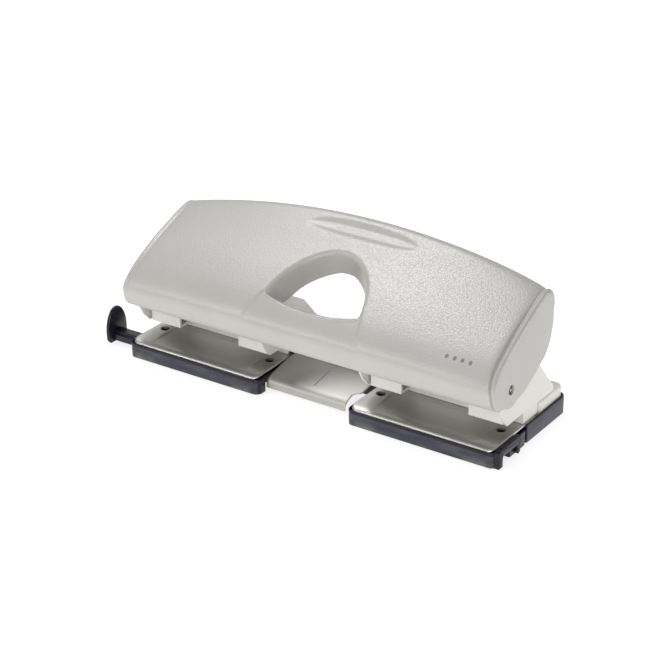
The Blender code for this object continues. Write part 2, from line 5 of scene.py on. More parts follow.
import bmesh
import bpy
import numpy as np
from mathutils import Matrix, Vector
from mathutils.geometry import delaunay_2d_cdt
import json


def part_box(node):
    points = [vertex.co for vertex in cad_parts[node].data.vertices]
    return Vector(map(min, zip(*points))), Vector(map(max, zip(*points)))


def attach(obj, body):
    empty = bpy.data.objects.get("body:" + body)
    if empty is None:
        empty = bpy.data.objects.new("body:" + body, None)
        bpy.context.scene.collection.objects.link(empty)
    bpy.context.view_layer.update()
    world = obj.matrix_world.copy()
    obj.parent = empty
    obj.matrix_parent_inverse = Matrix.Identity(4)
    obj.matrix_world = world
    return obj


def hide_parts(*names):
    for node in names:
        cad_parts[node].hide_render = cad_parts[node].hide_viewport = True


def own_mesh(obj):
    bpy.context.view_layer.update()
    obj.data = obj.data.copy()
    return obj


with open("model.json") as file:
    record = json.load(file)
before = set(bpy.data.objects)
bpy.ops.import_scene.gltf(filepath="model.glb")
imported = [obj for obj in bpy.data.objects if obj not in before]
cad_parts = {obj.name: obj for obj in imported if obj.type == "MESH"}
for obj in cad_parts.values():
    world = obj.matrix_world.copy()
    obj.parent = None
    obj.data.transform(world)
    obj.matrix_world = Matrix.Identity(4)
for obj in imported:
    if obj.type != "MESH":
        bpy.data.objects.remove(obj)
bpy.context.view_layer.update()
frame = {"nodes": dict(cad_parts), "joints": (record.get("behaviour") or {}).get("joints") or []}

MM = 0.001
NODES = frame["nodes"]


def box_mm(node):
    """Lowest and highest corner of a CAD node, in millimetres."""
    low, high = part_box(node)
    return np.array(low) / MM, np.array(high) / MM


# Materials -----------------------------------------------------------------------------------------


class Graph:
    """A short way to write a node material."""

    def __init__(self, name):
        self.material = bpy.data.materials.new(name)
        self.material.use_nodes = True
        self.tree = self.material.node_tree
        self.shader = self.tree.nodes["Principled BSDF"]
        self.place = self.node("ShaderNodeTexCoord").outputs["Object"]

    def node(self, kind, **settings):
        made = self.tree.nodes.new(kind)
        for key, value in settings.items():
            setattr(made, key, value)
        return made

    def feed(self, socket, value):
        if isinstance(value, bpy.types.NodeSocket):
            self.tree.links.new(value, socket)
        else:
            socket.default_value = value

    def math(self, operation, a, b=0.0, clamp=False):
        made = self.node("ShaderNodeMath", operation=operation, use_clamp=clamp)
        self.feed(made.inputs[0], a)
        self.feed(made.inputs[1], b)
        return made.outputs[0]

    def stretch(self, scale):
        made = self.node("ShaderNodeMapping")
        self.feed(made.inputs["Vector"], self.place)
        made.inputs["Scale"].default_value = scale
        return made.outputs["Vector"]

    def noise(self, scale, detail=3.0, vector=None, roughness=0.5):
        made = self.node("ShaderNodeTexNoise")
        self.feed(made.inputs["Vector"], vector or self.place)
        made.inputs["Scale"].default_value = scale
        made.inputs["Detail"].default_value = detail
        made.inputs["Roughness"].default_value = roughness
        return made.outputs["Fac"]

    def cells(self, scale):
        made = self.node("ShaderNodeTexVoronoi", feature="SMOOTH_F1")
        self.feed(made.inputs["Vector"], self.place)
        made.inputs["Scale"].default_value = scale
        made.inputs["Smoothness"].default_value = 0.6
        return made.outputs["Distance"]

    def ramp(self, value, low, high, start=0.0, end=1.0):
        made = self.node("ShaderNodeMapRange")
        self.feed(made.inputs["Value"], value)
        for key, number in (("From Min", start), ("From Max", end), ("To Min", low), ("To Max", high)):
            made.inputs[key].default_value = number
        return made.outputs["Result"]

    def mix(self, share, a, b):
        made = self.node("ShaderNodeMix", data_type="RGBA")
        self.feed(made.inputs[0], share)
        self.feed(made.inputs[6], a if isinstance(a, bpy.types.NodeSocket) else (*a, 1.0))
        self.feed(made.inputs[7], b if isinstance(b, bpy.types.NodeSocket) else (*b, 1.0))
        return made.outputs[2]

    def bump(self, height, distance, strength):
        made = self.node("ShaderNodeBump")
        made.inputs["Strength"].default_value = strength
        made.inputs["Distance"].default_value = distance
        self.feed(made.inputs["Height"], height)
        return made.outputs["Normal"]

    def axes(self, vector):
        """The three parts of a vector."""
        made = self.node("ShaderNodeSeparateXYZ")
        self.feed(made.inputs[0], vector)
        return made.outputs

    def set(self, **inputs):
        for key, value in inputs.items():
            socket = self.shader.inputs[key.replace("_", " ").title().replace("Ior", "IOR")]
            if isinstance(value, tuple):
                value = (*value, 1.0)
            self.feed(socket, value)
        return self.material


# Row of four dots on the lever's face, in metres
DOT_FIRST, DOT_STEP, DOT_Y = 0.0925, 0.005, -0.0385
DOT_MIDDLE, DOT_ROW_HALF = 0.1025, 0.0100


def paint():
    """Warm light grey powder coat with a fine pebbled skin, and a row of grey dots."""
    g = Graph("pebbled_paint")
    pebbles = g.math("ADD", g.cells(900.0), g.math("MULTIPLY", g.noise(1500.0, 2.0), 0.35))
    cloud = g.noise(18.0, 4.0)
    colour = g.mix(g.ramp(cloud, 0.0, 1.0, 0.3, 0.7), (0.410, 0.401, 0.377), (0.440, 0.432, 0.409))
    x, y, _ = g.axes(g.place)
    along = g.math("PINGPONG", g.math("SUBTRACT", x, DOT_FIRST), DOT_STEP / 2)
    away = g.math("POWER", g.math("SUBTRACT", along, DOT_STEP / 2), 2.0)
    aside = g.math("POWER", g.math("SUBTRACT", y, DOT_Y), 2.0)
    dot = g.ramp(g.math("SQRT", g.math("ADD", away, aside)), 1.0, 0.0, 0.0009, 0.0013)
    middle = g.math("ABSOLUTE", g.math("SUBTRACT", x, DOT_MIDDLE))
    dot = g.math("MULTIPLY", dot, g.math("LESS_THAN", middle, DOT_ROW_HALF))
    facing = g.axes(g.node("ShaderNodeTexCoord").outputs["Normal"])
    dot = g.math("MULTIPLY", dot, g.math("GREATER_THAN", facing[2], 0.2))
    colour = g.mix(dot, colour, (0.16, 0.16, 0.155))
    return g.set(base_color=colour, metallic=0.0, specular_ior_level=0.95,
                 roughness=g.ramp(pebbles, 0.30, 0.46, 0.1, 0.9),
                 normal=g.bump(pebbles, 0.00012, 0.7))


def frame_paint():
    """The lever's coat on the folded frames: smoother, and lighter than the lever's copy, which paints in the
    brighter light that the frames' front tabs catch.
    """
    g = Graph("frame_paint")
    grain = g.noise(900.0, 3.0)
    cloud = g.ramp(g.noise(25.0, 3.0), 0.0, 1.0, 0.3, 0.7)
    # Lighter than the lever's copy of the same coat: painted light on the frames and base plate.
    colour = g.mix(cloud, (0.640, 0.630, 0.595), (0.680, 0.672, 0.636))
    return g.set(base_color=colour, metallic=0.0, roughness=g.ramp(grain, 0.38, 0.5, 0.3, 0.7),
                 normal=g.bump(grain, 0.00004, 0.5))


def plastic(name, low, high, rough, gloss):
    """Blue-black moulding with faint flow marks."""
    g = Graph(name)
    flow = g.noise(1.0, 4.0, g.stretch((45.0, 90.0, 160.0)), 0.6)
    colour = g.mix(g.ramp(flow, 0.0, 1.0, 0.38, 0.66), low, high)
    fine = g.noise(2200.0, 2.0)
    g.set(base_color=colour, metallic=0.0, specular_ior_level=gloss,
          roughness=g.math("ADD", g.ramp(flow, rough, rough + 0.12, 0.3, 0.7), g.ramp(fine, 0.0, 0.05)),
          normal=g.bump(fine, 0.00002, 0.35))
    return g


def face_plastic():
    """The mouldings' outer faces: a duller blue grey that pales near the foot of each tray's two ends."""
    g = plastic("tray_face_plastic", (0.024, 0.025, 0.036), (0.058, 0.061, 0.080), 0.36, 0.4)
    x, _, z = g.axes(g.place)
    across = g.math("ABSOLUTE", x)
    near = g.ramp(g.math("ABSOLUTE", g.math("SUBTRACT", across, 0.0445)), 1.0, 0.0, 0.0045, 0.0085)
    far = g.ramp(g.math("ABSOLUTE", g.math("SUBTRACT", across, 0.1170)), 1.0, 0.0, 0.0050, 0.0090)
    ends = g.math("ADD", near, far, True)
    foot = g.ramp(z, 1.0, 0.0, 0.0012, 0.0052)
    cloud = g.ramp(g.noise(160.0, 3.0), 0.35, 1.0, 0.35, 0.65)
    share = g.math("MULTIPLY", g.math("MULTIPLY", ends, foot), cloud, True)
    base = g.shader.inputs["Base Color"].links[0].from_socket
    return g.set(base_color=g.mix(share, base, (0.125, 0.125, 0.120)))


def sheet_steel(name, low, high, rough):
    """Cold-rolled plate, drawn along X, with light handling marks."""
    g = Graph(name)
    drawn = g.noise(1.0, 4.0, g.stretch((30.0, 1500.0, 1500.0)), 0.6)
    cloud = g.noise(30.0, 3.0)
    colour = g.mix(g.ramp(cloud, 0.0, 1.0, 0.3, 0.7), low, high)
    rough = g.math("ADD", g.ramp(drawn, rough, rough + 0.07, 0.3, 0.7), g.ramp(cloud, -0.02, 0.03, 0.3, 0.7))
    return g.set(base_color=colour, metallic=1.0, roughness=rough, normal=g.bump(drawn, 0.000008, 0.2))


def turned_steel(name, tone, rough, scale):
    """Ground or drawn steel with fine circular or lengthwise marks."""
    g = Graph(name)
    marks = g.noise(1.0, 4.0, g.stretch(scale), 0.6)
    colour = g.mix(g.ramp(marks, 0.0, 1.0, 0.3, 0.7), tuple(c * 0.86 for c in tone), tone)
    return g.set(base_color=colour, metallic=1.0, roughness=g.ramp(marks, rough, rough + 0.14, 0.3, 0.7),
                 normal=g.bump(marks, 0.00002, 0.3))


PAINT = paint()
FRAME_PAINT = frame_paint()
BLACK = plastic("blue_black_plastic", (0.006, 0.006, 0.010), (0.012, 0.013, 0.020), 0.20, 0.34).material
BLACK_FACE = face_plastic()
PLATE = sheet_steel("rolled_steel", (0.50, 0.49, 0.47), (0.57, 0.56, 0.54), 0.39)
APRON = sheet_steel("satin_steel", (0.46, 0.45, 0.43), (0.51, 0.50, 0.48), 0.50)
TOOL = turned_steel("ground_steel", (0.52, 0.52, 0.53), 0.16, (900.0, 900.0, 3000.0))
SPRING = turned_steel("spring_steel", (0.34, 0.34, 0.36), 0.24, (1200.0, 1200.0, 1200.0))


# Mesh helpers --------------------------------------------------------------------------------------


def add_piece(name, verts, faces, mat, body, replaced=(), sharp=38.0, solid=True):
    """A mesh piece given in millimetres, shaded smooth across angles under `sharp` degrees."""
    mesh = bpy.data.meshes.new(name)
    mesh.from_pydata([tuple(float(c) * MM for c in v) for v in verts], [],
                     [tuple(map(int, f)) for f in faces])
    bm = bmesh.new()
    bm.from_mesh(mesh)
    bmesh.ops.remove_doubles(bm, verts=bm.verts, dist=1e-6)
    if solid:
        bmesh.ops.recalc_face_normals(bm, faces=bm.faces)
    bm.to_mesh(mesh)
    bm.free()
    mesh.shade_smooth()
    mesh.set_sharp_from_angle(angle=math.radians(sharp))
    mesh.materials.append(mat)
    obj = bpy.data.objects.new(name, mesh)
    bpy.context.scene.collection.objects.link(obj)
    if body:
        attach(obj, body)
    if replaced:
        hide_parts(*replaced)
    return obj


def apply_modifiers(obj):
    """Bakes the modifiers of a piece into its mesh."""
    graph = bpy.context.evaluated_depsgraph_get()
    baked = bpy.data.meshes.new_from_object(obj.evaluated_get(graph))
    obj.modifiers.clear()
    obj.data = baked
    return obj


def cut(obj, cutters, operation="DIFFERENCE"):
    """Exact Booleans with helper objects, which are removed."""
    for helper in cutters:
        made = obj.modifiers.new("cut", "BOOLEAN")
        made.operation = operation
        made.solver = "EXACT"
        made.object = helper
    apply_modifiers(obj)
    for helper in cutters:
        bpy.data.objects.remove(helper, do_unlink=True)
    obj.data.shade_smooth()
    obj.data.set_sharp_from_angle(angle=math.radians(38.0))
    return obj


def soft_edges(obj, width, angle):
    """Welds, rounds the edges and evens out the shading."""
    weld = obj.modifiers.new("weld", "WELD")
    weld.merge_threshold = 0.002 * MM
    bevel = obj.modifiers.new("round", "BEVEL")
    bevel.width = width * MM
    bevel.segments = 2
    bevel.limit_method = "ANGLE"
    bevel.angle_limit = math.radians(angle)
    bevel.use_clamp_overlap = True
    even = obj.modifiers.new("even", "WEIGHTED_NORMAL")
    even.keep_sharp = False


def carry(node, mat, width, angle=30.0):
    """Shows a CAD node with its material and softly rounded edges."""
    obj = NODES[node]
    obj.data.materials.clear()
    obj.data.materials.append(mat)
    if "custom_normal" in obj.data.attributes:
        obj.data.attributes.remove(obj.data.attributes["custom_normal"])
    obj.data.shade_smooth()
    soft_edges(obj, width, angle)


def helper_box(low, high):
    """A plain box to cut with."""
    corners = [(x, y, z) for x in (low[0], high[0]) for y in (low[1], high[1])
               for z in (low[2], high[2])]
    faces = [(0, 1, 3, 2), (4, 6, 7, 5), (0, 4, 5, 1), (2, 3, 7, 6), (0, 2, 6, 4), (1, 5, 7, 3)]
    return add_piece("helper", corners, faces, BLACK, None)


def catmull(points, t):
    """Catmull-Rom through the points, at parameters 0 to count - 1."""
    p = np.asarray(points, float)
    t = np.asarray(t, float)
    padded = np.concatenate([[2 * p[0] - p[1]], p, [2 * p[-1] - p[-2]]])
    k = np.clip(np.floor(t).astype(int), 0, len(p) - 2)
    f = (t - k)[..., None]
    a, b, c, d = padded[k], padded[k + 1], padded[k + 2], padded[k + 3]
    return 0.5 * (2 * b + (c - a) * f + (2 * a - 5 * b + 4 * c - d) * f ** 2
                  + (3 * b - a - 3 * c + d) * f ** 3)


def smoothstep(value, low, high):
    """0 at low and 1 at high, with a soft start and end."""
    t = np.clip((np.asarray(value, float) - low) / (high - low), 0.0, 1.0)
    return t * t * (3 - 2 * t)


def inside(polygon, points):
    """Whether each point lies in the polygon."""
    poly = np.asarray(polygon, float)
    pts = np.asarray(points, float)
    result = np.zeros(len(pts), bool)
    for a, b in zip(poly, np.roll(poly, -1, axis=0)):
        if a[1] == b[1]:
            continue
        crosses = (a[1] > pts[:, 1]) != (b[1] > pts[:, 1])
        at = a[0] + (pts[:, 1] - a[1]) * (b[0] - a[0]) / (b[1] - a[1])
        result ^= crosses & (pts[:, 0] < at)
    return result


def gap_to(polygon, points):
    """Distance from each point to the closed polygon's outline."""
    poly = np.asarray(polygon, float)
    pts = np.asarray(points, float)
    best = np.full(len(pts), 1e9)
    for a, b in zip(poly, np.roll(poly, -1, axis=0)):
        along = b - a
        share = np.clip(((pts - a) @ along) / max(along @ along, 1e-12), 0, 1)
        best = np.minimum(best, np.linalg.norm(pts - (a + share[:, None] * along), axis=1))
    return best


def outward(loop):
    """Unit normals of a closed 2-D loop, pointing away from its middle."""
    ahead = np.roll(loop, -1, axis=0) - np.roll(loop, 1, axis=0)
    out = np.column_stack([ahead[:, 1], -ahead[:, 0]])
    out /= np.maximum(np.linalg.norm(out, axis=1, keepdims=True), 1e-9)
    return -out if ((loop - loop.mean(axis=0)) * out).sum() < 0 else out


def triangulate(points, outline, holes=()):
    """Triangles between 2-D points, inside the outline loop and outside the hole loops (lists of indices)."""
    edges = []
    for loop in [outline, *holes]:
        edges += [(loop[k], loop[(k + 1) % len(loop)]) for k in range(len(loop))]
    flat, _, faces, origin, _, _ = delaunay_2d_cdt([Vector(p) for p in points], edges, [], 0, 1e-5)
    if len(flat) > len(points):
        raise ValueError("loops cross")
    back = [ids[0] for ids in origin]
    triangles = np.array([[back[i] for i in face] for face in faces])
    pts = np.asarray(points, float)
    middle = pts[triangles].mean(axis=1)
    keep = inside(pts[outline], middle)
    for loop in holes:
        keep &= ~inside(pts[loop], middle)
    triangles = triangles[keep]
    a, b, c = (pts[triangles[:, k]] for k in range(3))
    area = (b[:, 0] - a[:, 0]) * (c[:, 1] - a[:, 1]) - (c[:, 0] - a[:, 0]) * (b[:, 1] - a[:, 1])
    triangles[area < 0] = triangles[area < 0][:, ::-1]
    return triangles[np.abs(area) > 1e-9]


def rounded(low, high, radii, steps=8):
    """Outline of a rectangle, counter-clockwise from the low corner; radii for (low, low), (high, low), ..."""
    corners = [(low[0], low[1], 1, 1, 180), (high[0], low[1], -1, 1, 270), (high[0], high[1], -1, -1, 0),
               (low[0], high[1], 1, -1, 90)]
    outline = []
    for (x, y, sx, sy, start), radius in zip(corners, radii):
        if radius <= 0.02:
            outline.append((x, y))
            continue
        for k in range(steps + 1):
            turn = math.radians(start + 90 * k / steps)
            outline.append((x + sx * radius + radius * math.cos(turn),
                            y + sy * radius + radius * math.sin(turn)))
    return np.array(outline)


def circle(count):
    """Points of a unit circle."""
    turns = np.radians(np.arange(0, 360, 360 // count))
    return np.column_stack([np.cos(turns), np.sin(turns)])


def upright(levels):
    """Loops of (y, z) points stood up at their x stations, from (x, loop) pairs."""
    return [np.column_stack([np.full(len(loop), float(x)), loop]) for x, loop in levels]


def stack(levels, close=True):
    """Verts and faces that join loops of equal length, (points, 3) each, with flat ends."""
    verts = np.concatenate(levels)
    count = len(levels[0])
    faces = []
    for k in range(len(levels) - 1):
        a, b = k * count, (k + 1) * count
        faces += [(a + i, a + (i + 1) % count, b + (i + 1) % count, b + i) for i in range(count)]
    if close:
        faces.append(tuple(range(count))[::-1])
        faces.append(tuple(range((len(levels) - 1) * count, len(levels) * count)))
    return verts, faces


def flat_loop(outline, z):
    """A plan outline at one height."""
    return np.column_stack([outline, np.full(len(outline), float(z))])


# Lever ---------------------------------------------------------------------------------------------

# The skin's outer section as (y, z), from the front lip over the face to the rear lip
SECTION_END = [(-39.5, 34.6), (-43.5, 37.0), (-46.0, 42.3), (-46.3, 50.4), (-36.2, 60.3), (-18.2, 70.7),
               (1.0, 79.0), (12.0, 83.0), (18.4, 83.9), (22.6, 81.4), (24.2, 77.3), (24.0, 73.5)]
SECTION_MID = [(-39.5, 34.6), (-43.5, 37.0), (-46.4, 43.3), (-46.6, 52.3), (-37.6, 61.1), (-19.5, 72.0),
               (3.0, 83.8), (20.3, 93.4), (27.4, 97.0), (32.2, 95.3), (33.4, 91.0), (33.0, 86.5)]
CROWN_POWER = 2.1
LEAN = 0.045
HALF_LOW = float(box_mm("handle_shell")[1][0])
SHARE_X = 130.0
FACE_X = 128.0
RIGHT_LIFT = 1.3
SKIN = 1.3
BEAD_R = 1.9
CAP_END_R = 10.6
CAP_HOLE_R = 3.0
SPANS = len(SECTION_MID) - 1
FACE_LOW = np.array((-36.0, 61.3))
FACE_HIGH = np.array((20.0, 92.2))
FACE_LENGTH = float(np.linalg.norm(FACE_HIGH - FACE_LOW))
FACE_UP = (FACE_HIGH - FACE_LOW) / FACE_LENGTH
FACE_IN = np.array((FACE_UP[1], -FACE_UP[0]))
HINGE = [j for j in frame["joints"] if j["name"] == "lever_hinge"][0]
PIVOT = np.array(HINGE["pos_m"][1:]) / MM

fine_t = np.linspace(0, SPANS, 2001)
fine_mid = catmull(SECTION_MID, fine_t)
fine_b = np.concatenate([[0], np.cumsum(np.linalg.norm(np.diff(fine_mid, axis=0), axis=1))])


def half_length(z):
    """Distance of the leaning end planes from the middle."""
    return HALF_LOW - LEAN * (z - 34.0)


def section(share, t):
    """(y, z) of the outer skin at a share of the half length and a section parameter."""
    crown = (1 - np.clip(np.abs(share), 0, 1) ** CROWN_POWER)[..., None]
    yz = catmull(SECTION_END, t) * (1 - crown) + catmull(SECTION_MID, t) * crown
    yz[..., 1] += RIGHT_LIFT * smoothstep(share, 0.3, 0.95) * smoothstep(t, 4.5, 8.0)
    return yz


def t_at_face(x, height):
    """Section parameter where the skin at x is `height` (a share) up the face line."""
    result = []
    for xi, hi in zip(np.atleast_1d(x), np.atleast_1d(height)):
        curve = section(np.full(len(fine_t), abs(xi) / FACE_X), fine_t)
        up = ((curve - FACE_LOW) @ FACE_UP) / FACE_LENGTH
        use = (fine_t > 1.6) & (fine_t < 8.3)
        result.append(np.interp(hi, up[use], fine_t[use]))
    return np.array(result)


GROOVE_LOW, GROOVE_HIGH = (np.interp(t_at_face(0.0, h)[0], fine_t, fine_b) for h in (0.865, 1.065))


def relief(x, b, yz):
    """Height of the pressed features over the plain skin, in mm, outwards."""
    height = ((yz - FACE_LOW) @ FACE_UP) / FACE_LENGTH
    # Shallow thumb scoop along the top edge, steeper on its upper side.
    along = np.clip(1 - (np.abs(x - 3.0) / 38.0) ** 3.0, 0, 1)
    middle = GROOVE_LOW + 0.56 * (GROOVE_HIGH - GROOVE_LOW)
    reach = 0.5 * (GROOVE_HIGH - GROOVE_LOW) * along ** 0.5 + 1e-6
    across = (b - middle) / reach
    wall = np.where(across > 0, smoothstep(across, 1.1, 0.45), smoothstep(across, -1.05, -0.2))
    out = -1.15 * wall * along ** 0.6
    # Field under the hand hole, pressed in between two creases.
    edge = 34.0 + 4.0 * np.clip((0.085 - height) / 0.2, 0, 1.6)
    field = smoothstep(np.abs(x), edge + 1.1, edge - 1.1)
    field = field * smoothstep(height, 0.16, 0.06) * smoothstep(yz[..., 1], 46.5, 56.0)
    return out - 0.85 * field


def lip_bead(x, yz):
    """Rolled-out edge along the lower lip of the hand hole."""
    height = ((yz - FACE_LOW) @ FACE_UP) / FACE_LENGTH
    lip = np.interp(np.abs(x), LIP_LINE[:, 0], LIP_LINE[:, 1])
    gap = (lip - height) * FACE_LENGTH
    return 0.95 * np.exp(-((gap - 0.35) / 0.60) ** 2) * smoothstep(np.abs(x), 33.5, 30.0) * (gap > -1.5)


def skin_points(x, b, end_gap=None, end_drop=0.0):
    """Outer skin points with relief. x in mm; end_gap overrides x by a distance from the end plane."""
    t = np.interp(b, fine_b, fine_t)
    if end_gap is None:
        share = x / SHARE_X
        yz = section(share, t)
        place_x = share * half_length(yz[..., 1])
        gap = half_length(yz[..., 1]) - np.abs(place_x)
    else:
        side = np.sign(x)
        share = side * (1 - end_gap / SHARE_X)
        yz = section(share, t)
        place_x = side * (half_length(yz[..., 1]) - end_gap)
        gap = np.full_like(b, end_gap)
    step = 1e-3
    ahead = section(share, np.clip(t + step, 0, SPANS))
    behind = section(share, np.clip(t - step, 0, SPANS))
    along = ahead - behind
    along /= np.linalg.norm(along, axis=-1, keepdims=True)
    normal = np.stack([-along[..., 1], along[..., 0]], axis=-1)
    depth = 0.70 * smoothstep(b, 110.0, 20.0) + 0.30
    up = smoothstep(b, 16.0, 32.0)
    crease = np.exp(-((gap - 2.3 - 2.1 * up) / (0.65 + 0.2 * up)) ** 2)
    bead = 0.60 * up * np.exp(-((gap - BEAD_R) / 1.2) ** 2) - 1.6 * depth * crease
    bead = bead - 0.25 * np.exp(-((gap - 5.6) / 2.2) ** 2)
    bead = bead * np.where(place_x > 0, 1.0, 0.22)
    height = bead * smoothstep(b, 0.0, 3.0) * smoothstep(gap, 12.0, 9.0) + end_drop
    height = height + relief(place_x, b, yz) + lip_bead(place_x, yz)
    moved = yz + normal * height[..., None]
    return np.column_stack([place_x, moved[:, 0], moved[:, 1]])


# Lower lip of the hand hole: x and the share up the face.
LIP_LINE = np.array([(0.0, -0.034), (12.5, -0.024), (24.0, 0.011), (28.7, 0.031), (32.9, 0.055),
                     (34.6, 0.082)])

# Half of the hand hole, from the top down to the corner and along the lower lip. Each row is the outline
# on the skin (x, share up the face), then the inner edge of the rolled wall (x, share, depth).
HOLE = [(0.0, 0.740, 0.0, 0.646, 15.0), (6.5, 0.726, 5.6, 0.630, 15.0), (14.9, 0.662, 12.3, 0.561, 15.0),
        (23.5, 0.537, 18.5, 0.463, 15.0), (29.3, 0.393, 22.8, 0.352, 15.0), (32.9, 0.250, 25.3, 0.236, 15.0),
        (34.6, 0.130, 26.9, 0.150, 14.0), (34.6, 0.082, 27.9, 0.103, 11.0), (32.9, 0.055, 29.8, 0.080, 4.5),
        (28.7, 0.031, 27.8, 0.057, 2.4), (24.0, 0.011, 23.6, 0.039, 1.9), (12.5, -0.024, 12.3, 0.005, 1.8),
        (0.0, -0.034, 0.0, -0.005, 1.8)]
ROLL_R = 3.4
HOLE_MARGIN = 2.2


def hole_rings():
    """Loops of points from the skin into the hand hole, outermost first, and the outline in (x, b)."""
    half = catmull(HOLE, np.linspace(0, len(HOLE) - 1, 73))
    mirror = half[1:-1][::-1].copy()
    mirror[:, [0, 2]] *= -1
    rows = np.concatenate([half, mirror])
    t = t_at_face(rows[:, 0], rows[:, 1])
    b = np.interp(t, fine_t, fine_b)
    flat = np.column_stack([rows[:, 0], b])
    out = outward(flat)
    start = skin_points(rows[:, 0], b)
    inner_t = t_at_face(rows[:, 2], rows[:, 3])
    inner_yz = section(rows[:, 2] / SHARE_X, inner_t)
    lip = np.column_stack([rows[:, 2], inner_yz])
    sideways = lip - start
    sideways[:, 1:] -= (sideways[:, 1:] @ FACE_IN)[:, None] * FACE_IN
    reach = np.linalg.norm(sideways, axis=1)
    sideways /= reach[:, None]
    inward = np.array((0.0, *FACE_IN))
    rings = [skin_points(*(flat + out * away).T) for away in (HOLE_MARGIN, 1.6, 1.1, 0.7, 0.35)]
    rings.append(start)
    depth = rows[:, 4]
    radius = np.minimum(ROLL_R, np.minimum(0.72 * reach, 0.72 * depth))
    low, high = np.full(len(rows), 0.05), np.full(len(rows), math.pi)
    for _ in range(40):
        turn = (low + high) / 2
        total = radius * np.sin(turn) + (depth - radius * (1 - np.cos(turn))) / np.tan(turn)
        low = np.where(total > reach, turn, low)
        high = np.where(total > reach, high, turn)
    for k in range(1, 8):
        angle = turn * k / 7
        rings.append(start + sideways * (radius * np.sin(angle))[:, None]
                     + inward * (radius * (1 - np.cos(angle)))[:, None])
    rolled = rings[-1]
    end = start + sideways * reach[:, None] + inward * depth[:, None]
    for k in range(1, 4):
        rings.append(rolled + (end - rolled) * k / 3)
    return rings, flat + out * HOLE_MARGIN


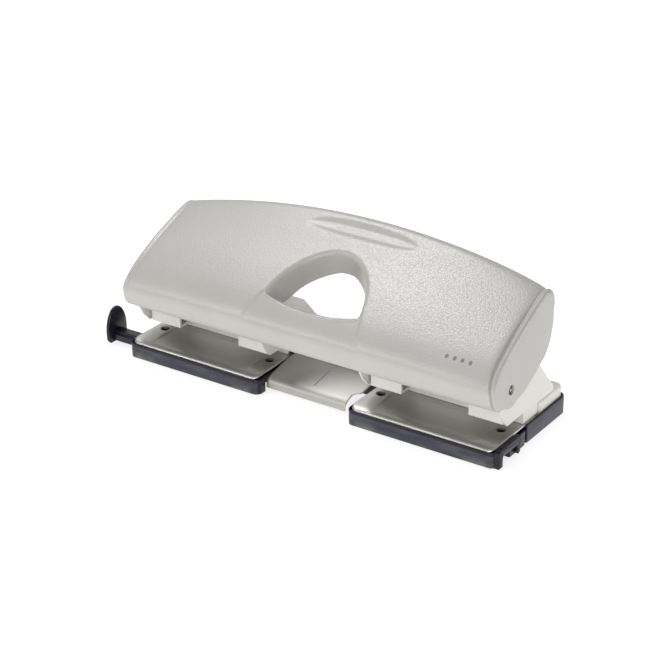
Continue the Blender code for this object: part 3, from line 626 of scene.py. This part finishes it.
def lever_skin():
    """The pressed lever: crowned face, beaded ends, rolled hand hole, thumb scoop and end caps."""
    total = fine_b[-1]
    rows_b = np.unique(np.round(np.concatenate([np.arange(0, 30, 0.9), np.arange(30, 95, 1.3),
                                                np.arange(95, total, 0.9), [total]]), 3))
    arc = [(BEAD_R * (1 - math.cos(a)), BEAD_R * (math.sin(a) - 1)) for a in np.linspace(0, math.pi / 2, 8)]
    gaps = arc + [(g, 0.0) for g in (2.3, 2.6, 2.9, 3.2, 3.5, 3.8, 4.1, 4.4, 4.7, 5.1, 5.6, 6.3, 7.1,
                                     8.1, 9.5, 11.0, 13.0)]
    centre_x = np.linspace(-115.0, 115.0, 163)
    verts = []
    index = {}
    for side in (-1, 1):
        for k, (gap, drop) in enumerate(gaps):
            points = skin_points(np.full(len(rows_b), float(side)), rows_b, gap, drop)
            index[(side, k)] = len(verts) + np.arange(len(rows_b))
            verts += list(points)
    columns = [index[(-1, k)] for k in range(len(gaps))]
    for x in centre_x:
        points = skin_points(np.full(len(rows_b), x), rows_b)
        columns.append(len(verts) + np.arange(len(rows_b)))
        verts += list(points)
    columns += [index[(1, k)] for k in reversed(range(len(gaps)))]
    rings, outline = hole_rings()
    near = [i for i, x in enumerate(centre_x) if abs(x) < 41.0]
    first, last = near[0] + len(gaps), near[-1] + len(gaps)
    low_b, high_b = outline[:, 1].min() - 4.0, outline[:, 1].max() + 4.0
    row_low = int(np.searchsorted(rows_b, low_b))
    row_high = int(np.searchsorted(rows_b, high_b))
    faces = []
    for c in range(len(columns) - 1):
        for r in range(len(rows_b) - 1):
            if first <= c < last and row_low <= r < row_high:
                continue
            faces.append((columns[c][r], columns[c + 1][r], columns[c + 1][r + 1], columns[c][r + 1]))
    # The window around the hole is triangulated between its border and the hole's outline.
    flat, ids, border = [], [], {}
    cells = [(c, r) for c in range(first, last + 1) for r in range(row_low, row_high + 1)]
    spots = np.array([(centre_x[c - len(gaps)], rows_b[r]) for c, r in cells])
    free = ~inside(outline, spots) & (gap_to(outline, spots) > 0.8)
    for (c, r), spot, use in zip(cells, spots, free):
        if use:
            border[(c, r)] = len(flat)
            flat.append(tuple(spot))
            ids.append(columns[c][r])
    edge = [(c, row_low) for c in range(first, last)] + [(last, r) for r in range(row_low, row_high)]
    edge += [(c, row_high) for c in range(last, first, -1)]
    edge += [(first, r) for r in range(row_high, row_low, -1)]
    outer_loop = [border[key] for key in edge]
    ring_start = len(flat)
    flat += [tuple(p) for p in outline]
    base = len(verts)
    ids += list(range(base, base + len(outline)))
    verts += list(rings[0])
    hole_loop = list(range(ring_start, ring_start + len(outline)))
    for tri in triangulate(flat, outer_loop, [hole_loop]):
        faces.append(tuple(ids[i] for i in tri))
    count = len(outline)
    for k in range(1, len(rings)):
        verts += list(rings[k])
        a, b = base + (k - 1) * count, base + k * count
        faces += [(a + (i + 1) % count, a + i, b + i, b + (i + 1) % count) for i in range(count)]
    # End caps, each with a hole for the axle.
    rear = [(21.3, 66.0), (17.9, 56.5), (13.0, 49.8), (6.0, 45.6), (-3.5, 40.6), (-13.5, 36.2)]
    sweep = np.radians(np.linspace(-52.0, -112.0, 14))
    round_end = PIVOT + CAP_END_R * np.column_stack([np.cos(sweep), np.sin(sweep)])
    for side in (-1, 1):
        column = columns[0] if side < 0 else columns[-1]
        curve = catmull([verts[column[-1]][1:], *rear], np.linspace(0, len(rear), 31))[1:]
        curve = np.concatenate([curve, round_end])
        start = len(verts)
        verts += [(side * half_length(z), y, z) for y, z in curve]
        loop_ids = list(column) + list(range(start, start + len(curve)))
        plan = [(verts[i][1], verts[i][2]) for i in loop_ids]
        ring = PIVOT + CAP_HOLE_R * circle(24)
        ring_ids = list(range(len(verts), len(verts) + len(ring)))
        verts += [(side * half_length(z), y, z) for y, z in ring]
        spots = np.array([(y, z) for y in np.arange(-44, 26, 4.0) for z in np.arange(34, 84, 4.0)])
        free = inside(plan, spots) & (gap_to(plan, spots) > 2.0) & (gap_to(ring, spots) > 1.5)
        free &= ~inside(ring, spots)
        spot_ids = list(range(len(verts), len(verts) + int(free.sum())))
        verts += [(side * half_length(z), y, z) for y, z in spots[free]]
        everything = plan + [tuple(p) for p in ring] + [tuple(p) for p in spots[free]]
        all_ids = loop_ids + ring_ids + spot_ids
        loop = list(range(len(plan)))
        hole = list(range(len(plan), len(plan) + len(ring)))
        for tri in triangulate(everything, loop, [hole]):
            picked = tuple(all_ids[i] for i in tri)
            faces.append(picked if side > 0 else picked[::-1])
    obj = add_piece("lever_skin", verts, faces, PAINT, None, sharp=60.0, solid=False)
    thick = obj.modifiers.new("sheet", "SOLIDIFY")
    thick.thickness = SKIN * MM
    thick.offset = -1.0
    thick.use_even_offset = False
    apply_modifiers(obj)
    obj.data.shade_smooth()
    obj.data.set_sharp_from_angle(angle=math.radians(50.0))
    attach(obj, "lever")
    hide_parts("handle_shell")
    return obj


lever_skin()


# Steel plates --------------------------------------------------------------------------------------


PUNCHES = sorted(n for n in NODES if n.startswith("punch_outer") or n.startswith("punch_inner"))
PUNCH_X = sorted(float(sum(box_mm(n))[0]) / 2 for n in PUNCHES)
PUNCH_Y = float(sum(box_mm(PUNCHES[0]))[1]) / 2
DIE_R = 2.87
# Edge of a plate, rolled down: distance in from the outline, and fall
EDGE_ROLL = ((0.0, 0.95), (0.12, 0.55), (0.4, 0.22), (0.85, 0.05), (1.5, 0.0))


def plate_mesh(outline, height, holes, columns, spacing=1.6):
    """Top of a pressed plate over a plan outline, with its edge rolled down and round holes."""
    flat, drop, loops = [], [], []
    out = outward(outline)
    for inset, fall in EDGE_ROLL:
        loops.append(list(range(len(flat), len(flat) + len(outline))))
        flat += [tuple(p) for p in outline - out * inset]
        drop += [fall] * len(outline)
    border = outline - out * EDGE_ROLL[-1][0]
    rims = []
    for x, y, r in holes:
        for extra_r, fall in ((0.0, 0.35), (0.3, 0.06), (0.7, 0.0)):
            ring = np.array((x, y)) + (r + extra_r) * circle(24)
            if extra_r == 0.0:
                rims.append(list(range(len(flat), len(flat) + len(ring))))
            flat += [tuple(p) for p in ring]
            drop += [fall] * len(ring)
    low, high = outline.min(axis=0), outline.max(axis=0)
    xs = np.unique(np.round(np.concatenate([np.arange(low[0], high[0], spacing), columns]), 4))
    ys = np.arange(low[1], high[1], spacing)
    spots = np.array([(x, y) for x in xs for y in ys])
    free = inside(border, spots) & (gap_to(border, spots) > 0.45 * spacing)
    for x, y, r in holes:
        free &= np.linalg.norm(spots - (x, y), axis=1) > r + 1.2
    flat += [tuple(p) for p in spots[free]]
    drop += [0.0] * int(free.sum())
    triangles = triangulate(flat, loops[0], rims)
    plan = np.array(flat)
    top = height(plan[:, 0], plan[:, 1]) - np.array(drop)
    return np.column_stack([plan, top]), triangles


def add_plate(name, verts, triangles, sheet, mat, node):
    """A steel plate on the base, from its top surface and its thickness."""
    obj = add_piece(name, verts, triangles, mat, None, sharp=50.0, solid=False)
    thick = obj.modifiers.new("sheet", "SOLIDIFY")
    thick.thickness = sheet * MM
    thick.offset = -1.0
    apply_modifiers(obj)
    obj.data.shade_smooth()
    obj.data.set_sharp_from_angle(angle=math.radians(55.0))
    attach(obj, "base")
    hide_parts(node)
    return obj


def die_plate(side):
    """Drawn plate: rolled front rim, flat pads round both dies and a shallow pressed field between them."""
    node = f"die_plate_{side}"
    low, high = box_mm(node)
    level = float(high[2])
    rim = catmull([(-43.0, level - 2.3), (-42.2, level - 1.8), (-41.3, level - 1.2),
                   (-39.9, level - 0.65), (-38.0, level - 0.25), (-35.8, level - 0.05),
                   (-33.0, level), (8.0, level)], np.linspace(0, 7, 141))

    def height(x, y):
        z = np.interp(y, rim[:, 0], rim[:, 1])
        left = smoothstep(x, low[0] + 12.5, low[0] + 13.7)
        right = smoothstep(x, high[0] - 12.8, high[0] - 14.0)
        field = left * right * smoothstep(y, -41.0, -33.0) * smoothstep(y, -8.6, -9.6)
        across = np.clip((x - low[0] - 12.5) / (high[0] - low[0] - 25.3), 0.0, 1.0)
        crown = 0.35 * (1 - (2 * across - 1) ** 2)
        return z - (0.55 + crown) * field

    outline = rounded((low[0], low[1] + 0.05), (high[0], high[1]), (5.0, 5.0, 0.6, 0.6))
    dense = []
    for a, b in zip(outline, np.roll(outline, -1, axis=0)):
        steps = max(1, int(np.linalg.norm(b - a) / 2.0))
        dense += [a + (b - a) * k / steps for k in range(steps)]
    holes = [(x, PUNCH_Y, DIE_R) for x in PUNCH_X if low[0] < x < high[0]]
    steps_at = [start + 0.35 * k for start in (low[0] + 12.4, high[0] - 14.1) for k in range(5)]
    verts, triangles = plate_mesh(np.array(dense), height, holes, steps_at)
    obj = add_plate(node + "_drawn", verts, triangles, 0.9, PLATE, node)
    bushes = []
    for x, y, _ in holes:
        profile = [(2.8, level - 1.85), (2.8, level - 0.25), (2.95, level - 0.12), (3.4, level - 0.3),
                   (3.4, level - 1.7), (3.25, level - 1.85)]
        loops = [flat_loop(np.array((x, y)) + r * circle(36), z) for r, z in profile + profile[:1]]
        verts, faces = stack(loops, False)
        bushes.append(add_piece("helper", verts, faces, PLATE, None))
    return cut(obj, bushes, "UNION")


FLARE = 4.4


def bridge():
    """Apron between the trays: straight lip, round nose, long slope, engraved centre line."""
    low, high = box_mm("bridge_plate")
    nose = [(-35.3, 3.1), (-35.4, 5.0), (-34.8, 7.0), (-33.2, 8.6), (-30.5, 9.8), (-26.0, 11.0),
            (-20.0, 12.2), (-14.0, 13.1), (-8.4, 13.75), (-2.0, 13.95)]
    curve = catmull(nose, np.linspace(0, len(nose) - 1, 81))
    xs = np.concatenate([[low[0], low[0] + 0.15, low[0] + 0.5], np.arange(low[0] + 1.2, -1.2, 1.5),
                         np.arange(-1.2, 1.21, 0.1), np.arange(2.2, high[0] - 1.0, 1.5),
                         [high[0] - 0.5, high[0] - 0.15, high[0]]])
    verts, faces = [], []
    ahead = np.gradient(curve, axis=0)
    out = np.column_stack([-ahead[:, 1], ahead[:, 0]])
    out /= np.linalg.norm(out, axis=1, keepdims=True)
    for x in xs:
        edge = min(x - low[0], high[0] - x)
        fall = 0.45 * (1 - min(1.0, edge / 0.5)) ** 2
        mark = 0.30 * np.exp(-(x / 0.32) ** 2) * smoothstep(curve[:, 0], -29.5, -28.5)
        mark = mark * smoothstep(curve[:, 0], -12.5, -13.5)
        shifted = curve - out * (fall + mark)[:, None]
        flare = FLARE * smoothstep(curve[:, 0], -27.5, -22.5) * smoothstep(x, high[0] - 8.0, high[0])
        verts += [(x + wider, y, z) for wider, (y, z) in zip(flare, shifted)]
    n = len(curve)
    for i in range(len(xs) - 1):
        for k in range(n - 1):
            faces.append((i * n + k, (i + 1) * n + k, (i + 1) * n + k + 1, i * n + k + 1))
    return add_plate("bridge_apron", verts, faces, 1.2, APRON, "bridge_plate")


for side_name in ("left", "right"):
    die_plate(side_name)
bridge()


# Black mouldings -----------------------------------------------------------------------------------


BASE_HALF = float(box_mm("rear_base_cover")[1][0])
TRAY_IN = float(box_mm("chip_tray_right")[0][0])
PAN_FRONT = -5.8
RUNNERS = ((33.4, 35.6), (125.4, 127.6))
STRAPS = ((44.0, 50.0), (82.0, 88.0), (112.0, 118.0))
SIGN = {"left": -1, "right": 1}


def chip_tray(side):
    """Tray with a rounded top bead, a slightly set-back front face, a hollow and a channel cover."""
    node = f"chip_tray_{side}"
    sign = SIGN[side]
    low, high = box_mm(node)
    x0, x1 = sorted((sign * TRAY_IN, sign * BASE_HALF))
    bottom = float(low[2])
    front, back = float(low[1]), float(high[1])
    shape = [(0.45, bottom - 0.3), (0.2, bottom - 0.15), (0.12, bottom + 0.4), (0.12, 7.1),
             (0.12, 7.4), (0.08, 7.7), (0.03, 7.95), (0.0, 8.3), (0.0, 9.0), (0.1, 9.45), (0.35, 9.75),
             (0.6, 9.85), (0.8, 9.7), (0.95, 9.2), (1.1, 8.0), (1.6, 7.4), (1.6, 2.6), (2.1, 2.0)]
    levels = []
    for inset, z in shape:
        r, rear_r = max(4.5 - inset, 1.5), 0.9 if inset < 1.5 else 0.3
        levels.append(flat_loop(rounded((x0 + inset, front + inset), (x1 - inset, back - min(inset, 1.6)),
                                        (r, r, rear_r, rear_r)), z))
    verts, faces = stack(levels)
    obj = add_piece(node + "_moulding", verts, faces, BLACK, None)
    obj.data.materials.append(BLACK_FACE)
    for face in obj.data.polygons:
        z = face.center.z / MM
        if face.center.y / MM < front + 1.2 and bottom + 0.1 < z < 7.6 and abs(face.normal.z) < 0.8:
            face.material_index = 1
    cover = rounded_block((x0 + 0.9, -36.6, 1.0), (x1 - 0.9, -24.2, 9.7), 0.4)
    cut(obj, [cover], "UNION")
    cutters = [helper_box((x0 - 6, -35.4, -2.0), (x1 + 6, -25.4, 8.9))]
    for a, b in RUNNERS:
        r0, r1 = sorted((sign * (a - 0.3), sign * (b + 0.3)))
        cutters.append(helper_box((r0, -23.7, 2.1), (r1, 0.0, 4.7)))
    cut(obj, cutters)
    straps = []
    for a, b in STRAPS:
        r0, r1 = sorted((sign * a, sign * b))
        straps.append(rounded_block((r0, -36.2, bottom), (r1, -24.6, 2.3), 0.3))
    cut(obj, straps, "UNION")
    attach(obj, f"{side}_tray")
    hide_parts(node)
    return obj


def rounded_block(low, high, radius):
    """A helper block with all its edges rounded."""
    turns = [math.pi / 2 * k / 3 for k in range(4)]
    shape = [(radius * (1 - math.sin(a)), low[2] + radius * (1 - math.cos(a))) for a in turns]
    shape += [(radius * (1 - math.cos(a)), high[2] - radius * (1 - math.sin(a))) for a in turns]
    levels = []
    for inset, z in shape:
        levels.append(flat_loop(rounded((low[0] + inset, low[1] + inset),
                                        (high[0] - inset, high[1] - inset),
                                        [max(radius * 1.2 - inset, 0.05)] * 4, 4), z))
    verts, faces = stack(levels)
    return add_piece("helper", verts, faces, BLACK, None)


def tray_collar(side):
    """Frame at a tray's end that the guide bar passes under: raised on the right, low on the left."""
    sign = SIGN[side]
    reach, top, under, front = (0.4, 9.9, 8.9, -38.4) if side == "left" else (2.3, 11.9, 6.9, -42.0)
    x0, x1 = sorted((sign * (BASE_HALF - 1.2), sign * (BASE_HALF + reach)))
    outline = [(front + 0.2, 0.5), (front, 3.0), (front, top - 3.0), (front + 0.5, top - 1.2),
               (-37.5, top - 0.2), (-36.0, top), (-19.6, top), (-18.2, top - 0.5), (-17.6, top - 1.7),
               (-17.6, 2.2), (-18.1, 1.2), (-19.6, 0.8), (-20.4, 1.6), (-20.8, under - 1.2),
               (-21.8, under), (-26.0, under), (-36.6, under), (-37.4, under - 0.8), (-37.6, 0.5)]
    dense = catmull(outline, np.linspace(0, len(outline) - 1, 65))
    out = outward(dense)
    profile = ((0.45, x0), (0.12, x0 + 0.15), (0.0, x0 + 0.5), (0.0, x1 - 0.5), (0.12, x1 - 0.15),
               (0.45, x1))
    verts, faces = stack(upright([(x, dense - out * inset) for inset, x in profile]))
    return add_piece(f"tray_collar_{side}", verts, faces, BLACK, f"{side}_tray",
                     sharp=50.0)


def rear_cover():
    """Rear floor pan with a softly rounded rim and the two pairs of tray runners."""
    low, high = box_mm("rear_base_cover")
    top = float(high[2])
    front = PAN_FRONT
    shape = [(1.4, 0.0), (0.5, 0.15), (0.0, 0.8), (0.0, top - 1.1), (0.3, top - 0.3), (0.9, top),
             (1.3, top - 0.1), (1.6, top - 0.6), (1.6, 2.2), (2.2, 1.6)]
    levels = []
    for inset, z in shape:
        levels.append(flat_loop(rounded((-BASE_HALF + inset, front + inset * 0.9),
                                        (BASE_HALF - inset, float(high[1]) - inset),
                                        (0.6, 0.6, 6.0 - inset, 6.0 - inset)), z))
    verts, faces = stack(levels)
    obj = add_piece("rear_floor_pan", verts, faces, BLACK, None)
    bars = []
    for a, b in RUNNERS:
        for sign in (-1, 1):
            r0, r1 = sorted((sign * a, sign * b))
            bars.append(rounded_block((r0, float(low[1]), 2.4), (r1, front + 0.8, 4.4), 0.3))
    cut(obj, bars, "UNION")
    saddles = []
    for sign in (-1, 1):
        x0, x1 = sorted((sign * (TRAY_IN + 1.4), sign * (BASE_HALF - 1.6)))
        saddles.append(helper_box((x0, front - 1.0, 10.4), (x1, front + 2.6, top + 5.0)))
    cut(obj, saddles)
    obj.data.materials.append(BLACK_FACE)
    for face in obj.data.polygons:
        at = face.center / MM
        rim = abs(at.x) > BASE_HALF - 1.0 or at.y > front + 1.0
        if abs(face.normal.z) < 0.3 and 0.3 < at.z < top - 0.8 and rim:
            outside = face.normal.x * at.x > 0 or face.normal.y * (at.y - 18.0) > 0
            face.material_index = 1 if outside else 0
    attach(obj, "base")
    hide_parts("rear_base_cover")
    return obj


def knob():
    """Half-oval stop plate with a rounded rim and a shallow dish on its outer side."""
    low, high = box_mm("guide_knob")
    centre_y = float(low[1] + high[1]) / 2
    half_y = float(high[1] - low[1]) / 2
    bottom, top = float(low[2]), float(high[2])
    corner = 8.5
    outline = [(centre_y - half_y * 0.72, bottom), (centre_y + half_y * 0.72, bottom)]
    outline += [(centre_y + half_y * math.cos(t), corner + (top - corner) * math.sin(t))
                for t in np.linspace(-0.35, math.pi + 0.35, 19)]
    smooth = catmull(outline + outline[:1], np.linspace(0, len(outline), 97))[:-1]
    out = outward(smooth)
    x0, x1 = float(low[0]), float(high[0])
    profile = ((3.4, x0 + 0.55), (2.4, x0 + 0.35), (1.6, x0 + 0.05), (0.9, x0), (0.35, x0 + 0.2),
               (0.05, x0 + 0.7), (0.0, x0 + 1.2), (0.05, x1 - 0.6), (0.35, x1 - 0.15), (0.9, x1))
    verts, faces = stack(upright([(x, smooth - out * inset) for inset, x in profile]))
    return add_piece("guide_stop_plate", verts, faces, BLACK, "paper_guide", ["guide_knob"])


TOOTH = 4.0


def bar():
    """Stepped sliding bar with small detent teeth along its rear side."""
    low, high = box_mm("guide_bar")
    y0, y1, z0, z1 = float(low[1]), float(high[1]), float(low[2]), float(high[2])
    loop = np.array([(y0 + 0.4, z0), (y1 - 0.4, z0), (y1, z0 + 0.4), (y1, z1 - 0.4), (y1 - 0.4, z1),
                     (y0 + 2.5, z1), (y0 + 2.1, z1 - 0.35), (y0 + 1.9, z1 - 1.25),
                     (y0 + 0.5, z1 - 1.4), (y0, z1 - 1.8), (y0, z0 + 0.4)])
    stations = [(low[0], 0.0), (low[0] + 6.0, 0.0)]
    x = float(low[0]) + 6.0
    while x < high[0] - TOOTH:
        stations += [(x + 0.9, 0.35), (x + 1.6, 0.35), (x + 2.5, 0.0), (x + TOOTH, 0.0)]
        x += TOOTH
    stations += [(high[0] - 0.4, 0.0), (high[0], 0.4)]
    levels = []
    for x, bite in stations:
        ring = loop.copy()
        ring[:, 0] = np.where(ring[:, 0] > y1 - 0.5, ring[:, 0] - bite, ring[:, 0])
        levels.append((x, ring))
    verts, faces = stack(upright(levels))
    return add_piece("guide_slide_bar", verts, faces, BLACK, "paper_guide", ["guide_bar"],
                     30.0)


for side_name in ("left", "right"):
    chip_tray(side_name)
    tray_collar(side_name)
rear_cover()
knob()
bar()


# Springs, punches and small steel parts --------------------------------------------------------------


WIRE_R = 0.33
SPRING_TURNS = 6.0


def spring(name):
    """Close-ended coil of round wire."""
    low, high = box_mm(name)
    x, y = float(low[0] + high[0]) / 2, float(low[1] + high[1]) / 2
    radius = float(high[0] - low[0]) / 2 - WIRE_R
    bottom, top = float(low[2]) + WIRE_R, float(high[2]) - WIRE_R
    steps, sides = 168, 8
    levels = []
    for k in range(steps + 1):
        s = k / steps
        rise = np.interp(s, [0, 0.16, 0.84, 1], [0, 0.055, 0.945, 1])
        a = 2 * math.pi * SPRING_TURNS * s
        radial = np.array((math.cos(a), math.sin(a), 0.0))
        centre = np.array((x, y, bottom + (top - bottom) * rise)) + radial * radius
        around = np.linspace(0, 2 * math.pi, sides, endpoint=False)
        levels.append(centre + np.outer(np.cos(around), radial) * WIRE_R
                      + np.outer(np.sin(around), (0, 0, 1)) * WIRE_R)
    verts, faces = stack(levels)
    obj = add_piece(name + "_coil", verts, faces, SPRING, "base", [name], 60.0)
    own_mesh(obj)
    return obj


def axle_end(side):
    """Axle with a staked end: a turned recess round a bright centre boss."""
    node = f"axle_{side}"
    sign = SIGN[side]
    low, high = box_mm(node)
    outer, inner = (high[0], low[0]) if sign > 0 else (low[0], high[0])
    profile = [(0.0, outer), (0.65, outer - sign * 0.02), (0.9, outer - sign * 0.25),
               (1.0, outer - sign * 1.4), (1.75, outer - sign * 1.4), (1.8, outer - sign * 0.9),
               (1.88, outer - sign * 0.8), (1.96, outer - sign * 0.85), (2.0, outer - sign * 1.0),
               (2.0, inner + sign * 0.4), (1.6, inner), (0.0, inner)]
    verts, faces = stack(upright([(x, PIVOT + max(r, 0.02) * circle(36)) for r, x in profile]))
    return add_piece(node + "_staked", verts, faces, TOOL, "base", [node], 40.0)


for name in sorted(NODES):
    if name.startswith("return_spring_"):
        spring(name)
for side_name in ("left", "right"):
    axle_end(side_name)
    carry(f"punch_frame_{side_name}", FRAME_PAINT, 0.35)
    carry(f"axle_clip_{side_name}", SPRING, 0.15)
    carry(f"press_bar_{side_name}", TOOL, 0.3)
    for row in ("front", "rear"):
        carry(f"rivet_{row}_{side_name}", TOOL, 0.2)
carry("base_plate", FRAME_PAINT, 0.2, angle=40.0)
for name in PUNCHES:
    carry(name, TOOL, 0.15)
    carry(name.replace("punch_", "retaining_ring_"), SPRING, 0.12)


# Stage ---------------------------------------------------------------------------------------------


def stage():
    """Pale floor, and surroundings that are white to the camera and dimmer as a light."""
    mesh = bpy.data.meshes.new("floor")
    reach = 6.0
    mesh.from_pydata([(-reach, -reach, 0), (reach, -reach, 0), (reach, reach, 0), (-reach, reach, 0)], [],
                     [(0, 1, 2, 3)])
    g = Graph("pale_floor")
    mesh.materials.append(g.set(base_color=(0.55, 0.55, 0.55), roughness=0.9, specular_ior_level=0.0,
                                emission_color=(1.0, 1.0, 1.0), emission_strength=0.74))
    floor = bpy.data.objects.new("floor", mesh)
    floor.location.z = -0.0002
    bpy.context.scene.collection.objects.link(floor)
    world = bpy.data.worlds.new("studio")
    bpy.context.scene.world = world
    world.use_nodes = True
    tree = world.node_tree
    background = tree.nodes["Background"]
    seen = tree.nodes.new("ShaderNodeLightPath").outputs["Is Camera Ray"]
    strength = tree.nodes.new("ShaderNodeMapRange")
    strength.inputs["To Min"].default_value = 0.31
    strength.inputs["To Max"].default_value = 1.0
    tree.links.new(seen, strength.inputs["Value"])
    tree.links.new(strength.outputs["Result"], background.inputs["Strength"])
    background.inputs["Color"].default_value = (1.0, 1.0, 1.0, 1.0)


def soft_light(name, place, aim, size, power):
    """A rectangular light that the camera doesn't see."""
    lamp = bpy.data.lights.new(name, "AREA")
    lamp.shape = "RECTANGLE"
    lamp.size, lamp.size_y = size
    lamp.energy = power
    obj = bpy.data.objects.new(name, lamp)
    obj.location = place
    obj.rotation_euler = (Vector(aim) - Vector(place)).to_track_quat("-Z", "Y").to_euler()
    obj.visible_camera = False
    bpy.context.scene.collection.objects.link(obj)


def camera():
    """Seen from the front right and above, through a long lens."""
    azimuth, elevation, distance = math.radians(33.76), math.radians(25.49), 1.1445
    aim = Vector((-0.0021, -0.0042, 0.0329))
    back = Vector((math.sin(azimuth) * math.cos(elevation), -math.cos(azimuth) * math.cos(elevation),
                   math.sin(elevation)))
    data = bpy.data.cameras.new("camera")
    data.lens = 103.22
    data.sensor_width = 36.0
    data.clip_start = 0.01
    obj = bpy.data.objects.new("camera", data)
    obj.location = aim + back * distance
    obj.rotation_euler = (-back).to_track_quat("-Z", "Y").to_euler()
    bpy.context.scene.collection.objects.link(obj)
    bpy.context.scene.camera = obj


stage()
soft_light("overhead", (-0.36, 0.12, 0.84), (0.02, 0.0, 0.08), (0.24, 0.24), 3.1)
soft_light("front", (0.35, -0.95, 0.30), (0, 0, 0.03), (0.6, 0.5), 4.2)
soft_light("left", (-0.55, -0.79, 0.56), (0, 0, 0.05), (0.26, 0.26), 2.1)
soft_light("backdrop", (-0.55, 0.85, 0.50), (0, 0, 0.03), (1.2, 0.8), 1.6)
soft_light("right", (0.88, 0.42, 0.22), (0, 0, 0.04), (0.5, 0.5), 2.6)
camera()
bpy.context.scene.view_settings.view_transform = "Standard"
